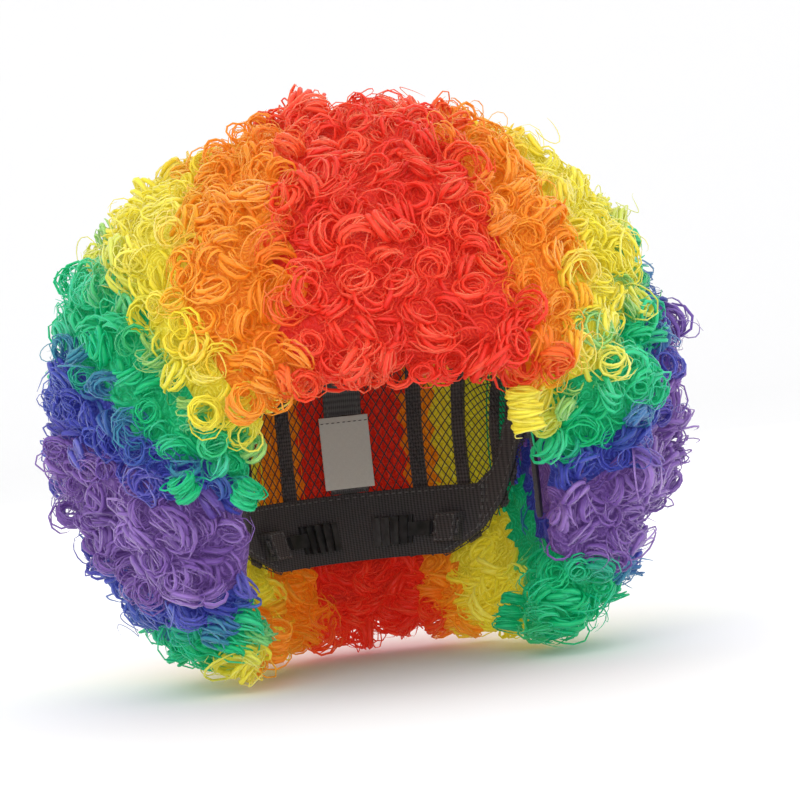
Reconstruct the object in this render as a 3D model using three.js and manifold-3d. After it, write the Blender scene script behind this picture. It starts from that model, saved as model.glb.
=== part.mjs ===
// A curly costume wig in rainbow bands: an elastic cap with net, ribbons, edge bands, nape
// adjusters, ear tabs and a blank label, and the curled hair sewn to it on weft tracks.
// Millimetres. The wearer faces -Y, +X is the wearer's left and +Z is up. The wig stands on the
// lower edge of its hair at z = 0, and the origin is below the middle of its box.

import * as THREE from "three";
import { mergeVertices } from "three/addons/utils/BufferGeometryUtils.js";
import Module from "manifold-3d";

const wasm = await Module();
wasm.setup();

// ---- driving dimensions ----

const HAIR_HALF = { x: 160, y: 155, z: 152 }; // half sizes of the ball of hair
const HAIR_BELOW = 148; // half height of the ball below its middle, where the curls draw in
const HAIR_TOP = 283; // height of the crown of the hair
const HAIR_Y = -0.5; // middle of the ball, so that its cut front and its back are equally far out
const HEAD = { y: -10, z: 98 }; // middle of the head, on the plane of symmetry
const CAP_HALF = { x: 79, y: 100, z: 114 }; // half sizes of the space inside the cap

// Distance of each layer outside the space in the cap: [inner, outer].
const TAPE_LAYER = [0.3, 1.7];
const NET_LAYER = [2.0, 3.0];
const WEFT_LAYER = [3.3, 5.3];
const HAIR_START = 5.6;
const GAP = 0.3;

// The face opening and the hair beside it.
const FACE = { halfWidth: 65, top: 142, corner: 26, back: -20 };
const CHEEK_CUT = { topY: -122, topZ: 142, bottomY: -52 };
const NECK = { halfX: 80, halfY: 96, narrowing: 0.775, top: 60 }; // a cone that narrows downwards

// The lower edge of the cap, from the forehead over the ear to the nape, as [y, z].
const CAP_EDGE = [
  [-90, 163],
  [-72, 140],
  [-60, 112],
  [-54, 99],
  [-30, 99],
  [-20, 106],
  [0, 110],
  [16, 101],
  [30, 79],
  [44, 61],
  [62, 48],
];
// The upper edge of the bands that run along it.
const BAND_EDGE = [
  [-76, 181],
  [-56, 150],
  [-45, 122],
  [-40, 116],
  [-32, 116],
  [-24, 121],
  [2, 125],
  [26, 112],
  [41, 90],
  [52, 83],
  [62, 83],
];
const FAR = 400; // beyond the object in every direction
const FRONT_BAND_END = -66; // y where the front band meets the side bands
const NAPE_BAND_START = 46; // y where the side bands meet the nape band
const CENTRE_RIBBON_HALF = 10;
const CROSS_RIBBON_HALF = 8;

// The colour rings run round the line through the ears. Each bound is an angle from that line, and
// its swells are [amount, middle, spread] round it, from straight in front. The two sides differ a
// little, as sewn rows do. All in degrees.
const RING_BOUNDS = {
  right: [
    { base: 13, swells: [[37, -20, 35]] },
    { base: 28, swells: [[32, -20, 35]] },
    { base: 44, swells: [[22, -20, 35]] },
    { base: 64, swells: [[-11, 44, 24], [-14, -78, 26]] },
    { base: 78, swells: [[-9, 22, 34]] },
  ],
  left: [
    { base: 24, swells: [[38, -26, 20]] },
    { base: 30, swells: [[38, -20, 22]] },
    { base: 42, swells: [[-6, 55, 30], [26, -22, 42], [8, -75, 25]] },
    { base: 64, swells: [[-11, 42, 26]] },
    { base: 73, swells: [[-9, 21, 21]] },
  ],
};
const RING_COLOURS = ["purple", "blue", "green", "yellow", "orange"];
const RING_GAP = 0.25; // keeps one ring clear of the next
const WEFT_HALF_ANGLE = 2.4;
const RED_WEFT_HALF = 4;

// Adjusters at the nape: all of them turn about one upright line, which is the middle of the arc.
const NAPE_AXIS_Y = 25;
const SLOPE = 3.5 / 12; // how far the nape leans out for each millimetre of height
const SLOPE_FROM = 62; // height at which the radii below hold
const STRAP = { r: [55.6, 56.8], z: [58, 66], az: [43.4, 62] };
const HOOK = { z: [58.6, 65.4], az: [25.5, 43], grip: [39.5, 42.5], gripR: 53.4 };
const TUNNEL = { r: [55.2, 57.2], z: [57.5, 66.5] };
const LADDER = { r: 54.1, z: [54.8, 69.2], az: [9, 30], rungs: [12, 17, 22, 27], half: 1.2 };
const CASING = { r: 54.1, z: [54.8, 69.2], az: [45, 60] };

// Ear tabs and label.
const TAB = { y: -42, z: 98, width: 22, height: 30, thick: 2, corner: 8, turn: 15, inset: 3.4 };
const LABEL = { width: 26, height: 38, thick: 0.8, y: 84.6, top: 124, corner: 2 };

const SPHERE_COLUMNS = 28;
const SPHERE_ROWS = 14;
const RIM_STEPS = 32;
const NAPE_STEPS = 96;

// ---- finishes ----

function finish(colour, roughness) {
  return new THREE.MeshStandardMaterial({ color: colour, roughness, metalness: 0 });
}
const HAIR_FINISH = {
  red: finish(0xe23226, 0.55),
  orange: finish(0xee8223, 0.55),
  yellow: finish(0xe8cf2d, 0.55),
  green: finish(0x08a554, 0.55),
  blue: finish(0x3237a0, 0.55),
  purple: finish(0x694f9a, 0.55),
};
const NET_FINISH = finish(0x2a2628, 0.8);
const ELASTIC_FINISH = finish(0x1e1c1e, 0.85);
const RIBBON_FINISH = finish(0x332f32, 0.7);
const WEFT_FINISH = finish(0x3b3438, 0.8);
const TAB_FINISH = finish(0x2b282a, 0.8);
const PLASTIC_FINISH = finish(0x151515, 0.45);
const LABEL_FINISH = finish(0xf1efe9, 0.7);

// ---- solids ----

const radians = THREE.MathUtils.degToRad;

/** A closed three.js geometry as a solid that can be joined and cut. */
function solid(geometry) {
  const bare = geometry.clone();
  bare.deleteAttribute("normal");
  bare.deleteAttribute("uv");
  const merged = mergeVertices(bare, 1e-4);
  return new wasm.Manifold(
    new wasm.Mesh({
      numProp: 3,
      vertProperties: new Float32Array(merged.attributes.position.array),
      triVerts: new Uint32Array(merged.index.array),
    }),
  );
}

/** The geometry of a solid. */
function geometryOf(made) {
  const { vertProperties, triVerts } = made.getMesh();
  return new THREE.BufferGeometry()
    .setAttribute("position", new THREE.BufferAttribute(vertProperties, 3))
    .setIndex(new THREE.BufferAttribute(triVerts, 1))
    .toNonIndexed();
}

/** An ellipsoid about (0, y, z) with its poles up and down. */
function ellipsoid(half, y, z) {
  return solid(
    new THREE.SphereGeometry(1, SPHERE_COLUMNS, SPHERE_ROWS)
      .rotateX(Math.PI / 2)
      .scale(half.x, half.y, half.z)
      .translate(0, y, z),
  );
}

/** The space in the cap, grown by a distance. */
function headSpace(grow) {
  const half = { x: CAP_HALF.x + grow, y: CAP_HALF.y + grow, z: CAP_HALF.z + grow };
  return ellipsoid(half, HEAD.y, HEAD.z);
}

/** The closed layer between two distances outside the space in the cap. */
function layer([inner, outer]) {
  return headSpace(outer).subtract(headSpace(inner));
}

/** A box between two corners. */
function block([x0, y0, z0], [x1, y1, z1]) {
  return solid(
    new THREE.BoxGeometry(x1 - x0, y1 - y0, z1 - z0).translate(
      (x0 + x1) / 2,
      (y0 + y1) / 2,
      (z0 + z1) / 2,
    ),
  );
}

/** A side view, a list of [y, z], carried straight across the object from x0 to x1. */
function acrossX(outline, x0, x1) {
  const shape = new THREE.Shape(outline.map(([y, z]) => new THREE.Vector2(y, z)));
  const made = new THREE.ExtrudeGeometry(shape, { depth: x1 - x0, bevelEnabled: false });
  const axes = new THREE.Matrix4().makeBasis(
    new THREE.Vector3(0, 1, 0),
    new THREE.Vector3(0, 0, 1),
    new THREE.Vector3(1, 0, 0),
  );
  return solid(made.applyMatrix4(axes).translate(x0, 0, 0));
}

/** Everything above an edge given as [y, z]. */
function above(edge) {
  const first = edge[0];
  const last = edge[edge.length - 1];
  const outline = [[-FAR, first[1]], ...edge, [FAR, last[1]], [FAR, FAR], [-FAR, FAR]];
  return acrossX(outline, -FAR, FAR);
}

/** The half of space on one side of the plane of symmetry. */
function sideHalf(side) {
  return side > 0
    ? block([0, -FAR, -FAR], [FAR, FAR, FAR])
    : block([-FAR, -FAR, -FAR], [0, FAR, FAR]);
}

/** Each ring bound's angle from the line of the ears, by the angle round it from the front. */
function ringAngles(side) {
  return RING_BOUNDS[side].map(({ base, swells }) => (around) =>
    swells.reduce((sum, [amount, at, spread]) => {
      const away = (around - at) / spread;
      return sum + amount * Math.exp(-away * away);
    }, base),
  );
}

/** All directions closer to one ear's line than an angle, as a cone from the middle of the head.
 *  The angle is a function of the angle round the line of the ears. */
function ringCone(side, angleAt, widen = 0) {
  const cone = new THREE.ConeGeometry(1, 1, RIM_STEPS);
  const place = cone.attributes.position;
  for (let i = 0; i < place.count; i += 1) {
    const x = place.getX(i);
    const z = place.getZ(i);
    if (place.getY(i) > 0) {
      place.setXYZ(i, 0, HEAD.y, HEAD.z);
    } else if (Math.hypot(x, z) < 0.5) {
      place.setXYZ(i, side * FAR, HEAD.y, HEAD.z);
    } else {
      const around = Math.atan2(z, x);
      const open = radians(angleAt(THREE.MathUtils.radToDeg(around)) + widen);
      place.setXYZ(
        i,
        side * FAR * Math.cos(open),
        HEAD.y - FAR * Math.sin(open) * Math.cos(around),
        HEAD.z + FAR * Math.sin(open) * Math.sin(around),
      );
    }
  }
  if (side > 0) {
    const index = cone.index.array;
    for (let i = 0; i < index.length; i += 3) {
      [index[i + 1], index[i + 2]] = [index[i + 2], index[i + 1]];
    }
  }
  return solid(cone);
}

/** A closed outline of [radius, z] turned between two angles about the upright line of the nape.
 *  Angles are from straight back, towards the wearer's left on side 1 and right on side -1. */
function napeSector(outline, [from, to], side) {
  const points = outline.map(([r, z]) => new THREE.Vector2(r, z));
  points.push(points[0].clone());
  const ring = solid(new THREE.LatheGeometry(points, NAPE_STEPS).rotateX(Math.PI / 2));
  const corner = (az) => [FAR * Math.sin(radians(az)), FAR * Math.cos(radians(az))];
  const wedge = new THREE.Shape([[0, 0], corner(to), corner(from)].map((p) => new THREE.Vector2(...p)));
  const cut = new THREE.ExtrudeGeometry(wedge, { depth: FAR, bevelEnabled: false });
  const made = ring.intersect(solid(cut)).translate([0, NAPE_AXIS_Y, 0]);
  return side > 0 ? made : made.mirror([1, 0, 0]);
}

/** The outline of a strip between two radii and two heights that leans with the nape. */
function leaning([r0, r1], [z0, z1]) {
  const lean = (r, z) => [r + (z - SLOPE_FROM) * SLOPE, z];
  return [lean(r0, z0), lean(r1, z0), lean(r1, z1), lean(r0, z1)];
}

// ---- the object ----

const wig = new THREE.Group();

function add(name, made, material, group = wig) {
  const mesh = new THREE.Mesh(geometryOf(made), material);
  mesh.name = name;
  group.add(mesh);
}

const SIDES = [
  { name: "left", sign: 1 },
  { name: "right", sign: -1 },
];

// Cap: net, bands and ribbons.
const capAbove = above(CAP_EDGE);
const bandsAbove = above(BAND_EDGE);
const tape = layer(TAPE_LAYER);
const edgeTape = tape.intersect(capAbove).subtract(bandsAbove);
const net = layer(NET_LAYER).intersect(capAbove);
add("crown_net", net, NET_FINISH);

const frontPart = block([-FAR, -FAR, -FAR], [FAR, FRONT_BAND_END, FAR]);
const sidePart = block([-FAR, FRONT_BAND_END + GAP, -FAR], [FAR, NAPE_BAND_START - GAP, FAR]);
const napePart = block([-FAR, NAPE_BAND_START, -FAR], [FAR, FAR, FAR]);
add("front_band", edgeTape.intersect(frontPart), ELASTIC_FINISH);
add("nape_band", edgeTape.intersect(napePart), ELASTIC_FINISH);
for (const { name, sign } of SIDES) {
  add("side_band_" + name, edgeTape.intersect(sidePart).intersect(sideHalf(sign)), ELASTIC_FINISH);
}

const ribbonArea = tape.intersect(bandsAbove.translate([0, 0, GAP]));
const centreStrip = block(
  [-CENTRE_RIBBON_HALF, -FAR, -FAR],
  [CENTRE_RIBBON_HALF, FAR, FAR],
);
add("centre_ribbon", ribbonArea.intersect(centreStrip), RIBBON_FINISH);
for (const { name, sign } of SIDES) {
  const inner = CENTRE_RIBBON_HALF + GAP;
  const strip = block(
    [sign > 0 ? inner : -FAR, HEAD.y - CROSS_RIBBON_HALF, -FAR],
    [sign > 0 ? FAR : -inner, HEAD.y + CROSS_RIBBON_HALF, FAR],
  );
  add("cross_ribbon_" + name, ribbonArea.intersect(strip), RIBBON_FINISH);
}

// Weft tracks, one in the middle of each ring of colour, and one along the red crown.
const weftArea = layer(WEFT_LAYER).intersect(capAbove);
for (const { name, sign } of SIDES) {
  const bounds = ringAngles(name);
  RING_COLOURS.forEach((colour, i) => {
    const outer = bounds[i];
    const inner = i ? bounds[i - 1] : () => 0;
    const middle = (around) => (inner(around) + outer(around)) / 2;
    const ring = ringCone(sign, middle, WEFT_HALF_ANGLE);
    const hole = ringCone(sign, middle, -WEFT_HALF_ANGLE);
    add("weft_" + colour + "_" + name, weftArea.intersect(ring.subtract(hole)), WEFT_FINISH);
  });
}
add(
  "weft_red_crown",
  weftArea.intersect(block([-RED_WEFT_HALF, -FAR, -FAR], [RED_WEFT_HALF, FAR, FAR])),
  WEFT_FINISH,
);

// Hair: the ball with the head, the neck and the face left open, cut into rings of colour.
const ballMiddle = HAIR_TOP - HAIR_HALF.z;
const ball = ellipsoid(HAIR_HALF, HAIR_Y, ballMiddle).warp((at) => {
  if (at[2] < ballMiddle) at[2] = ballMiddle + ((at[2] - ballMiddle) * HAIR_BELOW) / HAIR_HALF.z;
});
const neck = solid(
  new THREE.CylinderGeometry(1, NECK.narrowing, NECK.top + 1, SPHERE_COLUMNS)
    .rotateX(Math.PI / 2)
    .scale(NECK.halfX, NECK.halfY, 1)
    .translate(0, HEAD.y, (NECK.top - 1) / 2),
);
const faceOutline = new THREE.Shape();
faceOutline.moveTo(-FACE.halfWidth, -GAP);
faceOutline.lineTo(FACE.halfWidth, -GAP);
faceOutline.lineTo(FACE.halfWidth, FACE.top - FACE.corner);
faceOutline.quadraticCurveTo(FACE.halfWidth, FACE.top, FACE.halfWidth - FACE.corner, FACE.top);
faceOutline.lineTo(FACE.corner - FACE.halfWidth, FACE.top);
faceOutline.quadraticCurveTo(-FACE.halfWidth, FACE.top, -FACE.halfWidth, FACE.top - FACE.corner);
faceOutline.closePath();
const face = solid(
  new THREE.ExtrudeGeometry(faceOutline, {
    depth: FAR + FACE.back,
    bevelEnabled: false,
    curveSegments: 4,
  })
    .rotateX(Math.PI / 2)
    .translate(0, FACE.back, 0),
);
const cheeks = acrossX(
  [
    [-FAR, -GAP],
    [CHEEK_CUT.bottomY, -GAP],
    [CHEEK_CUT.topY, CHEEK_CUT.topZ],
    [-FAR, CHEEK_CUT.topZ],
  ],
  -FAR,
  FAR,
);
const hair = ball
  .intersect(block([-FAR, -FAR, 0], [FAR, FAR, FAR]))
  .subtract(headSpace(HAIR_START))
  .subtract(neck)
  .subtract(face)
  .subtract(cheeks);

let crown = hair;
for (const { name, sign } of SIDES) {
  const bounds = ringAngles(name);
  let within = null; // the rings made so far, with the gap that keeps the next one clear
  RING_COLOURS.forEach((colour, i) => {
    const cone = ringCone(sign, bounds[i]);
    const ring = within ? cone.subtract(within) : cone;
    add("hair_" + colour + "_" + name, hair.intersect(ring), HAIR_FINISH[colour]);
    const clear = ringCone(sign, bounds[i], RING_GAP);
    within = within ? within.add(clear) : clear;
  });
  crown = crown.subtract(within);
}
add("hair_red_crown", crown, HAIR_FINISH.red);

// Nape adjusters: a ladder of loops, a hook on an elastic strap, and the casing it slides in.
const underBands = headSpace(0);
const tunnel = leaning(TUNNEL.r, TUNNEL.z);
for (const { name, sign } of SIDES) {
  const ladderBody = napeSector(leaning([TUNNEL.r[1], 90], LADDER.z), LADDER.az, sign);
  let ladder = ladderBody.intersect(underBands);
  for (const at of LADDER.rungs) {
    const reach = [at - LADDER.half, at + LADDER.half];
    const loop = napeSector(leaning([LADDER.r, TUNNEL.r[1] + 1], LADDER.z), reach, sign);
    const gap = napeSector(tunnel, [reach[0] - 1, reach[1] + 1], sign);
    ladder = ladder.add(loop.subtract(gap));
  }
  add("hook_ladder_" + name, ladder, PLASTIC_FINISH);

  const casingBody = napeSector(leaning([CASING.r, 90], CASING.z), CASING.az, sign);
  const casingGap = napeSector(tunnel, [CASING.az[0] - 1, CASING.az[1] + 1], sign);
  add("strap_casing_" + name, casingBody.intersect(underBands).subtract(casingGap), ELASTIC_FINISH);

  add("adjuster_strap_" + name, napeSector(leaning(STRAP.r, STRAP.z), STRAP.az, sign), ELASTIC_FINISH);
  const tongue = napeSector(leaning(STRAP.r, HOOK.z), HOOK.az, sign);
  const grip = napeSector(leaning([HOOK.gripR, STRAP.r[1]], HOOK.z), HOOK.grip, sign);
  add("adjuster_hook_" + name, tongue.add(grip), PLASTIC_FINISH);
}

/** A flat piece of cloth hanging from its upper edge, with its lower corners rounded. */
function hangingPiece({ width, height, thick, corner }) {
  const shape = new THREE.Shape();
  shape.moveTo(-width / 2, 0);
  shape.lineTo(-width / 2, corner - height);
  shape.quadraticCurveTo(-width / 2, -height, corner - width / 2, -height);
  shape.lineTo(width / 2 - corner, -height);
  shape.quadraticCurveTo(width / 2, -height, width / 2, corner - height);
  shape.lineTo(width / 2, 0);
  shape.closePath();
  const options = { depth: thick, bevelEnabled: false, curveSegments: 6 };
  return new THREE.ExtrudeGeometry(shape, options).rotateX(Math.PI / 2).translate(0, thick, 0);
}

// Ear tabs, turned to lie along the side of the head.
for (const { name, sign } of SIDES) {
  const along = (TAB.y - HEAD.y) / CAP_HALF.y;
  const out = CAP_HALF.x * Math.sqrt(1 - along * along) - TAB.inset + TAB.thick;
  const holder = new THREE.Group();
  holder.position.set(sign * out, TAB.y, TAB.z);
  holder.rotation.z = sign * radians(90 - TAB.turn);
  wig.add(holder);
  const tab = solid(hangingPiece(TAB)).translate([0, -TAB.thick / 2, 0]);
  add("ear_tab_" + name, tab, TAB_FINISH, holder);
}

// The blank label hangs inside the back from its sewn upper edge.
add("care_label", solid(hangingPiece(LABEL).translate(0, LABEL.y, LABEL.top)), LABEL_FINISH);

export default wig;
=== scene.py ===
"""Looks of the curly costume wig: its rainbow curls, and the net cap inside them, in metres."""

import logging
import math
import random
from dataclasses import dataclass, field
from enum import Enum

import bmesh
import bpy
from mathutils import Matrix, Vector, noise
from mathutils.bvhtree import BVHTree


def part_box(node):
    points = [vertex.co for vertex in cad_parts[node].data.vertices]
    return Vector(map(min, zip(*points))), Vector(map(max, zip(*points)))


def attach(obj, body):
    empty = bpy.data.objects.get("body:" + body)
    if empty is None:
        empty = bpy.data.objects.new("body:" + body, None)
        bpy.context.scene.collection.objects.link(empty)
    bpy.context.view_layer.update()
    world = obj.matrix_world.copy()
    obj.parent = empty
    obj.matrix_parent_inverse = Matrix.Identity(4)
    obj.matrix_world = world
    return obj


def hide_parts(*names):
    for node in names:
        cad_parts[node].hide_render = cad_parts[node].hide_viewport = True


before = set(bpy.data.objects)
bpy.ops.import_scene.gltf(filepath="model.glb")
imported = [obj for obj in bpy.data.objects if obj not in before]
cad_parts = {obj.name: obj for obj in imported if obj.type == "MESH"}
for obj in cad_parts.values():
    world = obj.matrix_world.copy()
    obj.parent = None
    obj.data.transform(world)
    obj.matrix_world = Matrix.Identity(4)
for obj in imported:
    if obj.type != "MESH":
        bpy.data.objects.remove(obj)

logging.basicConfig(level=logging.INFO, format="%(name)s: %(message)s")
LOG = logging.getLogger("wig")

HAIR_BODY = "cap_and_hair"

CAP_HALF = (0.079, 0.100, 0.114)  # half sizes of the space inside the cap

Rgb = tuple[float, float, float]
Triple = tuple[float, float, float]
Span = tuple[float, float]
Socket = bpy.types.NodeSocket


# ---- the room that the hair has ----


@dataclass(frozen=True)
class Ellipsoid:
    """A round space about a point, with a half size along each axis and one of its own below."""

    centre: Triple
    half: Triple
    below: float | None = None

    def halves(self, point: Vector) -> Triple:
        """The half sizes that hold on the point's side of the middle."""
        if self.below and point.z < self.centre[2]:
            return (self.half[0], self.half[1], self.below)
        return self.half

    def share(self, point: Vector) -> float:
        """How far out a point is: 0 at the centre, 1 on the surface and more outside."""
        sides = self.halves(point)
        return math.sqrt(sum(((p - c) / h) ** 2 for p, c, h in zip(point, self.centre, sides)))

    def out(self, point: Vector) -> Vector:
        """The direction straight out of the surface at a point, of length 1."""
        sides = self.halves(point)
        return Vector([(p - c) / h**2 for p, c, h in zip(point, self.centre, sides)]).normalized()


@dataclass(frozen=True)
class HairSpace:
    """The ball of hair with the head, neck and face left open, as the CAD solids hold it."""

    ball: Ellipsoid = Ellipsoid((0.0, -0.0005, 0.131), (0.160, 0.155, 0.152), 0.148)
    head: Ellipsoid = Ellipsoid((0.0, -0.010, 0.098), (0.0846, 0.1056, 0.1196))
    face_half: float = 0.065
    face_top: float = 0.142
    face_corner: float = 0.026
    face_back: float = -0.020
    cheek_low: Span = (-0.052, 0.0)
    cheek_high: Span = (-0.122, 0.142)
    neck_half: Span = (0.080, 0.096)
    neck_narrowing: float = 0.775
    neck_top: float = 0.060
    tuft: float = 0.034
    dip: float = 0.0085
    even_below: float = 0.03

    @property
    def middle(self) -> Vector:
        """The middle of the head."""
        return Vector(self.head.centre)

    def head_gap(self, point: Vector) -> float:
        """How far a point is outside the space that the head and the cap take up."""
        return (self.head.share(point) - 1) * min(self.head.half)

    def valley(self, point: Vector) -> float:
        """How far the hair draws in between its tufts, along the line through a point."""
        off = (point - self.middle).normalized() * 0.15
        away = noise.voronoi(off / self.tuft)[0][0]
        height = self.head.centre[2] + off.z
        full = min(1.0, max(0.0, (height - self.even_below) / self.even_below))
        return self.dip * full * min(1.0, max(0.0, (away - 0.3) / 0.5))

    def face_gap(self, point: Vector) -> float:
        """How far a point is outside the face opening, negative inside it."""
        if point.y > self.face_back:
            return 1.0
        beside = abs(point.x) - self.face_half
        over = point.z - self.face_top
        if beside > -self.face_corner and over > -self.face_corner:
            reach = math.hypot(beside + self.face_corner, over + self.face_corner)
            return reach - self.face_corner
        return max(beside, over)

    def cheek_gap(self, point: Vector) -> float:
        """How far a point is behind the sloping front of the hair beside the face."""
        if point.z > self.cheek_high[1]:
            return 1.0
        (y0, z0), (y1, z1) = self.cheek_low, self.cheek_high
        length = math.hypot(y1 - y0, z1 - z0)
        return ((point.y - y0) * (z1 - z0) - (point.z - z0) * (y1 - y0)) / length

    def neck_gap(self, point: Vector) -> float:
        """How far a point is outside the way in for the neck."""
        if point.z > self.neck_top:
            return 1.0
        narrow = self.neck_narrowing + (1 - self.neck_narrowing) * point.z / self.neck_top
        half_x, half_y = (h * narrow for h in self.neck_half)
        share = math.hypot(point.x / half_x, (point.y - self.head.centre[1]) / half_y)
        return (share - 1) * min(half_x, half_y)

    def gap(self, point: Vector, valley: float) -> float:
        """The distance from a point to the nearest side of the hair, negative outside it.

        Args:
            point: The place that is asked about.
            valley: How far the outer side draws in there.

        Returns:
            The distance in metres.
        """
        ball = (1 - self.ball.share(point)) * min(self.ball.half) - valley
        openings = (self.head_gap, self.face_gap, self.cheek_gap, self.neck_gap)
        return min(ball, point.z, *(opening(point) for opening in openings))


# ---- the colours and their rings ----


@dataclass(frozen=True)
class RingBound:
    """Where one ring of colour ends, as an angle from the line through the ears, in degrees.

    Each swell is its amount, its middle round that line from straight in front, and its spread.
    """

    base: float
    swells: tuple[Triple, ...]

    def angle(self, around: float) -> float:
        """The bound at an angle round the line of the ears, from straight in front."""
        return self.base + sum(
            amount * math.exp(-(((around - at) / spread) ** 2)) for amount, at, spread in self.swells
        )


RING_BOUNDS = {
    -1: (
        RingBound(13, ((37, -20, 35),)),
        RingBound(28, ((32, -20, 35),)),
        RingBound(44, ((22, -20, 35),)),
        RingBound(64, ((-11, 44, 24), (-14, -78, 26))),
        RingBound(78, ((-9, 22, 34),)),
    ),
    1: (
        RingBound(24, ((38, -26, 20),)),
        RingBound(30, ((38, -20, 22),)),
        RingBound(42, ((-6, 55, 30), (26, -22, 42), (8, -75, 25))),
        RingBound(64, ((-11, 42, 26),)),
        RingBound(73, ((-9, 21, 21),)),
    ),
}


class HairColour(Enum):
    """The colours of the curls, from the ears up to the crown."""

    PURPLE = 0
    BLUE = 1
    GREEN = 2
    YELLOW = 3
    ORANGE = 4
    RED = 5


@dataclass(frozen=True)
class CurlFinish:
    """Dyed synthetic hair: its darker tone, which also serves as painted shade deep in the hair, its body
    colour, and its paler tone, which also serves as painted light at the surface.

    Of the light that falls on it, the share in soak spreads over the distance in reach. Its body colour
    also glows by the last amount: a painted glow, though the hair is no lamp.
    """

    deep: Rgb
    body: Rgb
    pale_tone_and_painted_light: Rgb
    roughness: float = 0.48
    gloss: float = 0.32
    soak: float = 0.6
    reach: float = 0.003
    painted_glow: float = 0.2


# The first colour of each finish is its darker tone and also the painted shade deep in the hair; the third
# is its paler tone and also the painted light at the surface.
CURL_FINISHES = {
    HairColour.RED: CurlFinish((0.50, 0.009, 0.006), (0.68, 0.025, 0.012), (0.84, 0.095, 0.035)),
    HairColour.ORANGE: CurlFinish((0.62, 0.120, 0.004), (0.76, 0.215, 0.010), (0.88, 0.37, 0.045)),
    HairColour.YELLOW: CurlFinish((0.56, 0.43, 0.010), (0.71, 0.60, 0.030), (0.84, 0.77, 0.16)),
    HairColour.GREEN: CurlFinish((0.0, 0.25, 0.080), (0.003, 0.385, 0.140), (0.05, 0.56, 0.29)),
    HairColour.BLUE: CurlFinish((0.016, 0.022, 0.19), (0.032, 0.040, 0.30), (0.11, 0.17, 0.58)),
    HairColour.PURPLE: CurlFinish((0.080, 0.034, 0.17), (0.140, 0.064, 0.275), (0.31, 0.19, 0.50)),
}
Finishes = dict[HairColour, bpy.types.Material]


# ---- small makers' tools ----


def new_piece(name: str, bm: bmesh.types.BMesh, material: bpy.types.Material) -> bpy.types.Object:
    """Turns a bmesh into a piece of the object, at the origin.

    Args:
        name: The piece's name.
        bm: Its shape, which is freed.
        material: Its finish.

    Returns:
        The new object.
    """
    mesh = bpy.data.meshes.new(name)
    bm.to_mesh(mesh)
    bm.free()
    mesh.materials.append(material)
    mesh.shade_smooth()
    piece = bpy.data.objects.new(name, mesh)
    bpy.context.scene.collection.objects.link(piece)
    LOG.info("%s: %d faces", name, len(mesh.polygons))
    return piece


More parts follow.
